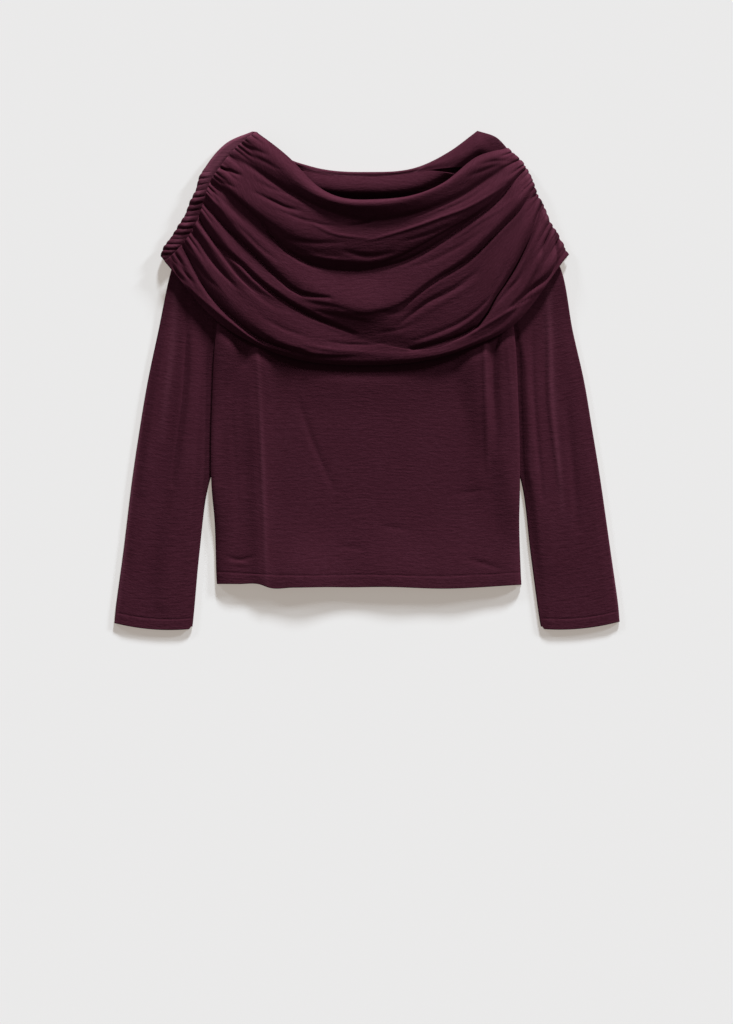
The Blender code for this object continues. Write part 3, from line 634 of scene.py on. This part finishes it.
def body_plan(top, rows, columns):
    """Plan of a body panel: rows from the hem to its own top section."""
    sections = BODY_SECTIONS + (top,)
    table = smooth_curve(
        range(len(sections)), [section[1:] for section in sections], np.linspace(0, len(sections) - 1, rows)
    )
    share = np.linspace(0, 1, columns)
    x = table[:, :1] + (table[:, 1:2] - table[:, :1]) * share
    y = smooth_curve(HEIGHT_STATIONS, table[:, 2:].T, share).T
    step = smooth_curve([spot.x for spot in HEM_STEP], [spot.y for spot in HEM_STEP], x)
    y = y + step * np.exp(-(((y - BODY_SECTIONS[0].y_middle) / HEM_STEP_REACH) ** 2))
    return x, y


def make_body_back(material):
    x, y = body_plan(BACK_TOP, BACK_BODY_ROWS, BACK_BODY_COLUMNS)
    grid = np.stack([x, y, back_height(x, y)], axis=2)
    shell = make_shell("back_panel", grid, KNIT, material)
    declare(shell, "body_back")


def band_relief(above, band):
    """A turned band is a little thicker, with a line of stitching pressed in along its top."""
    turned = BAND_EXTRA * (1 - ease(above, band - 1, band))
    line = BAND_GROOVE * np.exp(-(((above - band) / GROOVE_HALF_WIDTH) ** 2))
    return turned - line


def above_hem_line(x, y):
    """Height above the hem's own edge."""
    hem = BODY_SECTIONS[0]
    edge_x = hem.x_left + np.array(HEIGHT_STATIONS) * (hem.x_right - hem.x_left)
    return y - smooth_curve(edge_x, hem[3:], x)


def cowl_edge_y(x):
    """Where the collar's lower edge crosses the body."""
    edge = SWAGS[0]
    left, right = LEFT_SEAM[-1], RIGHT_SEAM[-1]
    line = (left.y, edge.y_eighth, edge.y_quarter, edge.y_middle, edge.y_three_quarter, edge.y_seven_eighths, right.y)
    return smooth_curve(left.x + np.array(STATIONS) * (right.x - left.x), line, x)


def front_grid():
    """Middle of the front panel, with its folds, hem bulge and hem band."""
    x, y = body_plan(FRONT_TOP, BODY_ROWS, BODY_COLUMNS)
    share = np.linspace(0, 1, BODY_COLUMNS)
    width = x[:, -1:] - x[:, :1]
    from_side = np.minimum(share, 1 - share) * width
    puff = np.sqrt(1 - (1 - np.clip(from_side / 26, 0, 1)) ** 2)
    pressed = sleeve_cover(x, y)
    air = HOLLOW + (PRESSED_HOLLOW - HOLLOW) * pressed
    above_hem = y - BODY_SECTIONS[0].y_middle
    bulge = HEM_LOFT + sum(lift.rise * np.exp(-(((x - lift.x) / lift.half_width) ** 2)) for lift in HEM_LIFTS)
    hem = bulge * np.exp(-((above_hem / HEM_BULGE_REACH) ** 2))
    folds = front_creases(x, y) * (1 - 0.7 * pressed)
    loft = BODY_LOFT * ease(cowl_edge_y(x) - y, 1, BODY_LOFT_REACH)
    air = np.maximum(air + FOLD_LIFT + loft + folds + hem + fold_relief(BODY_FOLDS, x, y), SEAM_GAP) * puff
    z = back_height(x, y) + KNIT + SEAM_GAP + air + band_relief(above_hem_line(x, y), HEM_BAND)
    return np.stack([x, y, z], axis=2)


def make_body_front(material):
    shell = make_shell("front_panel", front_grid(), KNIT, material, pressed=BODY_HIGHLIGHTS)
    declare(shell, "body_front")


def make_sleeve(name, node, sections, body_side, material):
    """A sleeve as a flattened tube: its top wall, one end fold, its bottom wall and the other."""
    rows = np.linspace(0, len(sections) - 1, SLEEVE_ROWS)
    table = smooth_curve(range(len(sections)), [section[1:] for section in sections], rows)
    if sections[0].x_outer < 0:
        start, end = table[:, :2], table[:, 2:]
    else:
        start, end = table[:, 2:], table[:, :2]
    share = np.linspace(0, 1, SLEEVE_TOP_POINTS)
    plan = start[:, None] + (end - start)[:, None] * share[:, None]
    plan[..., 1] -= CUFF_BOW * np.exp(-rows)[:, None] * 4 * share * (1 - share)
    inner = 1 - share if body_side == "right" else share
    corner = 1 - np.clip((1 - inner) * np.linalg.norm(end - start, axis=1)[:, None] / CUFF_CORNER, 0, 1)
    plan[..., 1] += CUFF_CORNER * (1 - np.sqrt(1 - corner**2)) * np.exp(-rows / 0.25)[:, None]
    x, y = plan[..., 0], plan[..., 1]
    covered = back_cowl_cover(x, y)
    side_x = outline_x(BODY_SECTIONS, f"x_{body_side}", f"y_{body_side}", y)
    inward = x - side_x if body_side == "left" else side_x - x
    pressed = np.maximum(ease(inward, -13, -2), 0.75 * covered)
    floor = KNIT / 2 + COWL_LIFT * covered
    rise = KNIT + HOLLOW + (PRESSED_HOLLOW - HOLLOW) * pressed
    radius = rise / 2
    direction = (end - start) / np.linalg.norm(end - start, axis=1, keepdims=True)
    inset = radius[:, :1] + (-radius[:, :1] - radius[:, -1:]) * share
    plan = plan + direction[:, None] * inset[..., None]
    from_end = np.minimum(share, 1 - share) * np.linalg.norm(end - start, axis=1)[:, None]
    relief = fold_relief(SLEEVE_FOLDS, plan[..., 0], plan[..., 1]) + FOLD_LIFT
    relief = np.maximum(relief, SEAM_GAP - rise + KNIT) * (1 - pressed) * ease(from_end, 0, SLEEVE_ROUNDING)
    cuff_edge = plan[:1, :, 1]
    relief = relief + band_relief(plan[..., 1] - cuff_edge, CUFF_BAND) * ease(from_end, 0, 3)
    top = np.concatenate([plan, (floor + rise + relief)[..., None]], axis=2)
    bottom = np.concatenate([plan, floor[..., None]], axis=2)
    ends = []
    angles = np.radians(np.linspace(90, -90, SLEEVE_END_POINTS + 2)[1:-1])
    for column, way in ((-1, 1), (0, -1)):
        for angle in angles * way:
            reach = radius[:, column][:, None] * np.cos(angle)
            height = floor[:, column] + radius[:, column] * (1 + np.sin(angle))
            out = plan[:, column] + way * direction * reach
            ends.append(np.concatenate([out, height[:, None]], axis=1)[:, None])
    loop = [top] + ends[:SLEEVE_END_POINTS] + [bottom[:, ::-1]] + ends[SLEEVE_END_POINTS:]
    shell = make_shell(name, np.concatenate(loop, axis=1), KNIT, material, ring=True, pressed=SLEEVE_HIGHLIGHTS)
    declare(shell, node)


def side_pleats(down, across):
    """Rise of the small slanting pleats in the strip beside the left seam, sharp between and round on top."""
    place = down * SIDE_PLEATS + PLEAT_SLANT * across
    number = np.floor(place).astype(int)
    uneven = 0.35 + 0.85 * np.sin(number * 2.4) ** 2
    height = PLEAT_RISE * uneven * np.sqrt(np.abs(np.sin(np.pi * place)))
    return height * ease(down, *SIDE_PLEAT_START) * np.sin(np.pi * np.clip(across * 0.8 + 0.15, 0, 1))


def make_cowl_back(material):
    """The collar's back: flat on the floor, folded over the neck and round the left shoulder."""
    share = np.linspace(0, 1, BACK_COWL_COLUMNS)
    depth = smooth_curve(FACING_STATIONS, FACING_DEPTHS, share)
    height = back_cowl_plan(share, 1.0)[:, 1] - back_cowl_plan(share, 0.0)[:, 1]
    turned = ease(share, 0, NECK_FOLD_START)
    neck_path = np.maximum((NECK_FOLD_RADIUS * np.pi + depth * height) * turned, LEAST_FOLD)
    neck_reach = NECK_FOLD_RADIUS * np.sin(np.clip(neck_path / NECK_FOLD_RADIUS, 0, np.pi / 2))
    flat_rows = np.linspace(0, 1, BACK_COWL_ROWS)
    fold_rows = np.linspace(0, 1, 25)[1:]
    side_columns = np.linspace(1, 0, SIDE_COLUMNS)[:-1]
    rows = []
    lower = FACING_DROP * ease(fold_rows, 0.45, 1.0)
    walls = np.concatenate([np.ones(BACK_COWL_ROWS), 1 - FACING_THINNING * ease(fold_rows, 0.45, 1.0)])
    steps = [(row, 0, 0) for row in flat_rows] + [(1, row, drop) for row, drop in zip(fold_rows, lower)]
    for flat, fold, drop in steps:
        advance, rise = fold_over(neck_path * fold, NECK_FOLD_RADIUS)
        up = flat * (1 - neck_reach / height) + advance / height
        floor = np.array([back_cowl_plan(share, level)[index] for index, level in enumerate(up)])
        z = COWL_KNIT / 2 + rise + neck_rise(floor[:, 0], floor[:, 1]) - drop * turned
        down = 1 - up[0]
        direction = (along(LEFT_SEAM, down) - along(LEFT_OUTLINE, down)) + np.array((1.0, -0.5))
        direction = direction / np.linalg.norm(direction)
        path = strip_path(down) * side_columns
        reach = SIDE_FOLD_RADIUS
        side_advance, side_rise = fold_over(path, SIDE_FOLD_RADIUS)
        pleat = side_pleats(down, side_columns)
        turn = np.sin(np.clip(path / SIDE_FOLD_RADIUS, 0, np.pi))
        side = floor[0] + direction * (reach - side_advance - PLEAT_SPREAD * pleat * turn)[:, None]
        floor = floor + direction * reach * (np.clip(1 - share * 8, 0, 1))[:, None]
        side = np.concatenate([side, (z[0] + side_rise + pleat)[:, None]], axis=1)
        rows.append(np.concatenate([side, np.concatenate([floor, z[:, None]], axis=1)]))
    shell = make_shell("cowl_back_panel", np.array(rows), COWL_KNIT, material, row_walls=walls, pressed=COLLAR_HIGHLIGHTS_AND_STITCH)
    declare(shell, "cowl_back")


def grid_rows(counts):
    """Places of a grid's rows in a table of sections, with this many rows from each section to the next."""
    rows = [low + part / count for low, count in enumerate(counts) for part in range(count)]
    return np.array(rows + [len(counts)])


def seam_gathers(spots, down, inward, seed):
    """Short creases that run in from a ruched seam, uneven in length, depth and spacing."""
    random = np.random.default_rng(seed)
    length = np.linalg.norm(np.diff(np.array(spots, float), axis=0), axis=1).sum()
    place = down[:, None] * length
    rise = 0 * inward
    for index in range(int(length / GATHER_PITCH)):
        centre = (index + 0.5 + random.uniform(-0.35, 0.35)) * GATHER_PITCH
        reach = random.uniform(*GATHER_REACH)
        depth = random.uniform(*GATHER_DEPTH)
        width = GATHER_HALF_WIDTH * random.uniform(0.8, 1.3) * (1 + inward / 50)
        fade = 1 - ease(inward, 0.2 * reach, reach)
        rise = rise - depth * fade * np.exp(-(((place - centre) / width) ** 2))
    return rise


def seam_columns(count):
    """Shares across the front of the collar, closer together near both seams."""
    even = np.linspace(-1, 1, count)
    return 0.5 + 0.5 * np.sign(even) * (1 - (1 - np.abs(even)) ** 1.25)


def cowl_grid():
    """Middle of the draped front: each row of the grid follows one swag from seam to seam."""
    table = smooth_curve(range(len(SWAGS)), [swag[1:] for swag in SWAGS], grid_rows(COWL_ROWS))
    share = seam_columns(COWL_COLUMNS)
    left = along(LEFT_SEAM, table[:, 0])
    right = along(RIGHT_SEAM, table[:, 1])
    line = np.concatenate([left[:, 1:], table[:, 2:7], right[:, 1:]], axis=1)
    x = left[:, :1] + (right[:, :1] - left[:, :1]) * share
    y = smooth_curve(STATIONS, line.T, share).T
    rise = smooth_curve(STATIONS, table[:, 7:].T, share).T
    width = right[:, :1] - left[:, :1]
    left_seam = fold_over(strip_path(table[:, 0]), SIDE_FOLD_RADIUS)[1][:, None] + COWL_KNIT
    left_part = np.sin(np.pi / 2 * np.clip(share * width / COWL_RAMP, 0, 1))
    right_part = np.sin(np.pi / 2 * np.clip((1 - share) * width / COWL_RAMP, 0, 1))
    level = cowl_ground(x, y)
    ground = level - (level - left_seam) * (1 - left_part) - (level - COWL_KNIT) * (1 - right_part)
    gathers = seam_gathers(LEFT_SEAM, table[:, 0], share * width, 3)
    right_gathers = seam_gathers(RIGHT_SEAM, table[:, 1], (1 - share) * width, 8)
    rise = rise + fold_relief(COWL_FOLDS, x, y) + FOLD_LIFT
    z = ground + SEAM_GAP + COWL_KNIT / 2 + np.maximum(rise, 0) + gathers + right_gathers
    bulges = np.maximum(GATHER_BULGE + right_gathers, 0)
    x = x + bulges * np.exp(-(1 - share) * width / 6)
    return np.stack([x, y, z], axis=2)


def make_cowl_front(material):
    shell = make_shell("cowl_front_panel", cowl_grid(), COWL_KNIT, material, pressed=COLLAR_HIGHLIGHTS_AND_STITCH)
    declare(shell, "cowl_front")


# Materials

PLUM = (0.0440, 0.0112, 0.0196)
PLUM_DARK = (0.0330, 0.0080, 0.0142)
PLUM_LIGHT = (0.0560, 0.0158, 0.0272)
PLUM_HIGHLIGHT_AND_STITCH = (0.115, 0.036, 0.058)
FLOOR_WHITE = (0.466, 0.508, 0.545)
FLOOR_GLOW = (0.345, 0.300, 0.263)


class Nodes:
    """Adds nodes to a material and joins them, so that each texture reads as one short list."""

    def __init__(self, material):
        self.tree = material.node_tree
        self.shader = self.tree.nodes["Principled BSDF"]

    def add(self, kind, **settings):
        node = self.tree.nodes.new(kind)
        for name, value in settings.items():
            setattr(node, name, value)
        return node

    def join(self, source, target):
        self.tree.links.new(source, target)

    def maths(self, operation, first, second=None):
        node = self.add("ShaderNodeMath", operation=operation)
        for index, value in enumerate((first, second)):
            if value is None:
                continue
            if isinstance(value, (int, float)):
                node.inputs[index].default_value = value
            else:
                self.join(value, node.inputs[index])
        return node.outputs[0]

    def noise(self, vector, scale, detail=2.0, stretch=(1.0, 1.0, 1.0)):
        mapping = self.add("ShaderNodeMapping")
        mapping.inputs["Scale"].default_value = stretch
        self.join(vector, mapping.inputs["Vector"])
        texture = self.add("ShaderNodeTexNoise")
        texture.inputs["Scale"].default_value = scale
        texture.inputs["Detail"].default_value = detail
        self.join(mapping.outputs[0], texture.inputs["Vector"])
        return texture.outputs["Fac"]

    def mix(self, share, first, second):
        node = self.add("ShaderNodeMix", data_type="RGBA")
        self.join(share, node.inputs["Factor"])
        self.join(first, node.inputs[6])
        node.inputs[7].default_value = (*second, 1.0)
        return node.outputs[2]

    def ramp(self, value, stops):
        node = self.add("ShaderNodeValToRGB")
        elements = node.color_ramp.elements
        while len(elements) < len(stops):
            elements.new(0.5)
        for element, (place, colour) in zip(elements, stops):
            element.position = place
            element.color = (*colour, 1.0)
        self.join(value, node.inputs["Fac"])
        return node.outputs["Color"]


# Size of one stitch, in metres
STITCH_WIDTH = 0.0016
STITCH_HEIGHT = 0.0013


def jersey(name, tint=1.0):
    """Fine plum jersey: two tones in short streaks across the cloth, and rows of small stitches."""
    material = bpy.data.materials.new(name)
    material.use_nodes = True
    nodes = Nodes(material)
    shader = nodes.shader
    place = nodes.add("ShaderNodeAttribute", attribute_name="knit").outputs["Vector"]
    streaks = nodes.noise(place, 1.0, 3.0, (85.0, 380.0, 1.0))
    wrinkles = nodes.noise(place, 1.0, 3.0, (55.0, 190.0, 1.0))
    grain = nodes.noise(place, 850.0, 2.0)
    crepe = nodes.noise(place, 270.0, 3.0, (1.0, 1.5, 1.0))
    patches = nodes.noise(place, 16.0, 2.0)
    tone = nodes.maths("MULTIPLY", streaks, 0.35)
    tone = nodes.maths("ADD", tone, nodes.maths("MULTIPLY", crepe, 0.3))
    tone = nodes.maths("ADD", tone, nodes.maths("MULTIPLY", grain, 0.2))
    tone = nodes.maths("ADD", tone, nodes.maths("MULTIPLY", patches, 0.15))
    stops = (
        (0.30, [tint * value for value in PLUM_DARK]),
        (0.50, [tint * value for value in PLUM]),
        (0.70, [tint * value for value in PLUM_LIGHT]),
    )
    # The pressed attribute carries painted highlights on lit ridges, sleeve rims and the collar's seam strips, and the
    # light stitching inside the neck; it mixes in the lighter plum.
    pressed = nodes.add("ShaderNodeAttribute", attribute_name="pressed").outputs["Fac"]
    highlight_and_stitch = nodes.maths("MULTIPLY", pressed, nodes.maths("ADD", streaks, 0.25))
    colour = nodes.mix(highlight_and_stitch, nodes.ramp(tone, stops), PLUM_HIGHLIGHT_AND_STITCH)
    nodes.join(colour, shader.inputs["Base Color"])
    parts = nodes.add("ShaderNodeSeparateXYZ")
    nodes.join(place, parts.inputs[0])
    across = nodes.maths("MULTIPLY", parts.outputs[0], 1 / STITCH_WIDTH)
    up = nodes.maths("MULTIPLY", parts.outputs[1], 1 / STITCH_HEIGHT)
    leg = nodes.maths("ABSOLUTE", nodes.maths("SUBTRACT", nodes.maths("FRACT", across), 0.5))
    wave = nodes.maths("SINE", nodes.maths("MULTIPLY", nodes.maths("ADD", up, leg), 6.2832))
    wale = nodes.maths("MULTIPLY", leg, 1.2)
    height = nodes.maths("SUBTRACT", nodes.maths("MULTIPLY", wave, 0.35), wale)
    height = nodes.maths("ADD", height, nodes.maths("MULTIPLY", streaks, 3.2))
    height = nodes.maths("ADD", height, nodes.maths("MULTIPLY", wrinkles, 5.0))
    height = nodes.maths("ADD", height, nodes.maths("MULTIPLY", crepe, 3.6))
    height = nodes.maths("ADD", height, nodes.maths("MULTIPLY", grain, 1.5))
    bump = nodes.add("ShaderNodeBump")
    bump.inputs["Strength"].default_value = 0.6
    bump.inputs["Distance"].default_value = 0.00012
    nodes.join(height, bump.inputs["Height"])
    nodes.join(bump.outputs["Normal"], shader.inputs["Normal"])
    shader.inputs["Roughness"].default_value = 0.9
    shader.inputs["Specular IOR Level"].default_value = 0.0
    shader.inputs["Sheen Weight"].default_value = 0.0
    shader.inputs["Sheen Roughness"].default_value = 0.5
    return material


def make_floor():
    """The plain pale surface that the sweater lies on."""
    material = bpy.data.materials.new("floor")
    material.use_nodes = True
    shader = material.node_tree.nodes["Principled BSDF"]
    shader.inputs["Base Color"].default_value = (*FLOOR_WHITE, 1.0)
    shader.inputs["Roughness"].default_value = 0.95
    shader.inputs["Specular IOR Level"].default_value = 0.0
    shader.inputs["Emission Color"].default_value = (*FLOOR_GLOW, 1.0)
    shader.inputs["Emission Strength"].default_value = 1.0
    half = 3.0
    mesh = bpy.data.meshes.new("floor")
    corners = [(-half, -half, 0), (half, -half, 0), (half, half, 0), (-half, half, 0)]
    mesh.from_pydata(corners, [], [(0, 1, 2, 3)])
    mesh.materials.append(material)
    floor = bpy.data.objects.new("floor", mesh)
    bpy.context.scene.collection.objects.link(floor)


# Camera and light

VIEW_CENTRE = (-0.0007, -0.1841)
VIEW_WIDTH = 1.0262
VIEW_HEIGHT = 8.0
SENSOR = 36.0
SUN_ELEVATION = 15.0
SUN_SIZE = 7.0
SUN_TOTAL = 11.0
Sun = namedtuple("Sun", "name azimuth share")
SUNS = (
    Sun("softbox_middle", -11.0, 0.67),
    Sun("softbox_left", 45.0, 0.10),
    Sun("softbox_right", -52.0, 0.23),
)
SKY = (0.125, 0.12, 0.115)


def make_camera():
    """Looks straight down, as the photo does, and shows what the photo shows."""
    data = bpy.data.cameras.new("camera")
    data.sensor_width = SENSOR
    data.sensor_fit = "HORIZONTAL"
    data.lens = SENSOR * VIEW_HEIGHT / VIEW_WIDTH
    camera = bpy.data.objects.new("camera", data)
    camera.location = (*VIEW_CENTRE, VIEW_HEIGHT)
    bpy.context.scene.collection.objects.link(camera)
    bpy.context.scene.camera = camera


def make_light():
    """A wide low softbox beyond the neck, which the folds' lower sides face away from."""
    for sun in SUNS:
        data = bpy.data.lights.new(sun.name, "SUN")
        data.energy = SUN_TOTAL * sun.share
        data.angle = np.radians(SUN_SIZE)
        light = bpy.data.objects.new(sun.name, data)
        light.rotation_euler = (np.radians(SUN_ELEVATION - 90), 0, np.radians(sun.azimuth))
        bpy.context.scene.collection.objects.link(light)
    world = bpy.data.worlds.new("studio")
    world.use_nodes = True
    world.node_tree.nodes["Background"].inputs["Color"].default_value = (*SKY, 1.0)
    world.node_tree.nodes["Background"].inputs["Strength"].default_value = 1.0
    bpy.context.scene.world = world
    bpy.context.scene.view_settings.view_transform = "Standard"
    bpy.context.scene.view_settings.look = "None"


def main():
    front = jersey("plum_jersey")
    inside = jersey("plum_jersey_inside", 0.95)
    collar = jersey("plum_cowl_jersey")
    make_floor()
    make_body_back(inside)
    make_body_front(front)
    make_sleeve("left_sleeve", "sleeve_left", LEFT_SLEEVE, "left", front)
    make_sleeve("right_sleeve", "sleeve_right", RIGHT_SLEEVE, "right", front)
    make_cowl_back(collar)
    make_cowl_front(collar)
    make_camera()
    make_light()


main()
